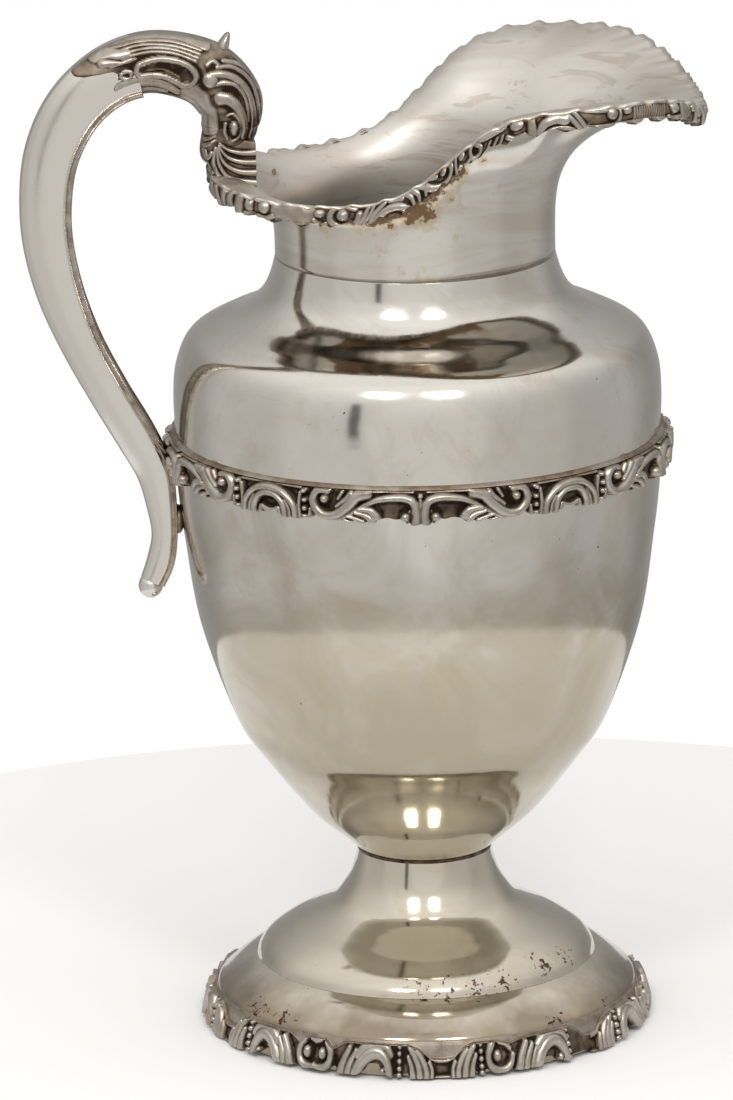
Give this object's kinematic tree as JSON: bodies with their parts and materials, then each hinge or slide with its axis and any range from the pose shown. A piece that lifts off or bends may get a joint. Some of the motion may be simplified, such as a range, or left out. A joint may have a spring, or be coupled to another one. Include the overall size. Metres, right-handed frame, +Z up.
{
  "type": "water pitcher",
  "caption": "Footed silver water pitcher with a flared spout, cast scroll borders round the lip, waist and foot, and a hollow loop handle with a leaf cap",
  "frame": {"origin": "middle of the flat resting face, on the axis of the body", "axes": "+Z up along the axis of the body; the spout points along +X and the handle along -X; +Y completes a right-handed frame"},
  "size_m": [0.208, 0.1543, 0.3115],
  "materials": {
    "polished_silver": "polished sterling silver, warm grey with light tarnish and fine wear",
    "handle_silver": "polished hollow silver handle with light tarnish",
    "cast_silver": "cast silver relief, bright on the high points, dark brown tarnish in the recesses",
    "inner_silver": "dull silver and solder, not polished"
  },
  "bodies": {
    "root": {"bowl": "polished_silver", "shoulder": "polished_silver", "spout": "polished_silver", "joint_ring": "inner_silver", "stem": "polished_silver", "dome": "polished_silver", "skirt": "polished_silver", "base_wire": "inner_silver", "band_wire": "polished_silver", "band_1": "cast_silver", "band_2": "cast_silver", "band_3": "cast_silver", "band_4": "cast_silver", "band_5": "cast_silver", "foot_border_1": "cast_silver", "foot_border_2": "cast_silver", "foot_border_3": "cast_silver", "foot_border_4": "cast_silver", "foot_border_5": "cast_silver", "foot_border_6": "cast_silver", "lip_border_1": "cast_silver", "lip_border_2": "cast_silver", "lip_border_3": "cast_silver", "lip_border_4": "cast_silver", "handle_shell": "handle_silver", "handle_strip": "handle_silver", "handle_cap": "cast_silver", "volute": "cast_silver", "volute_button_1": "cast_silver", "volute_button_2": "cast_silver", "spur": "cast_silver", "bracket": "cast_silver", "handle_pad": "handle_silver", "tail_cap": "handle_silver"}
  },
  "joints": []
}
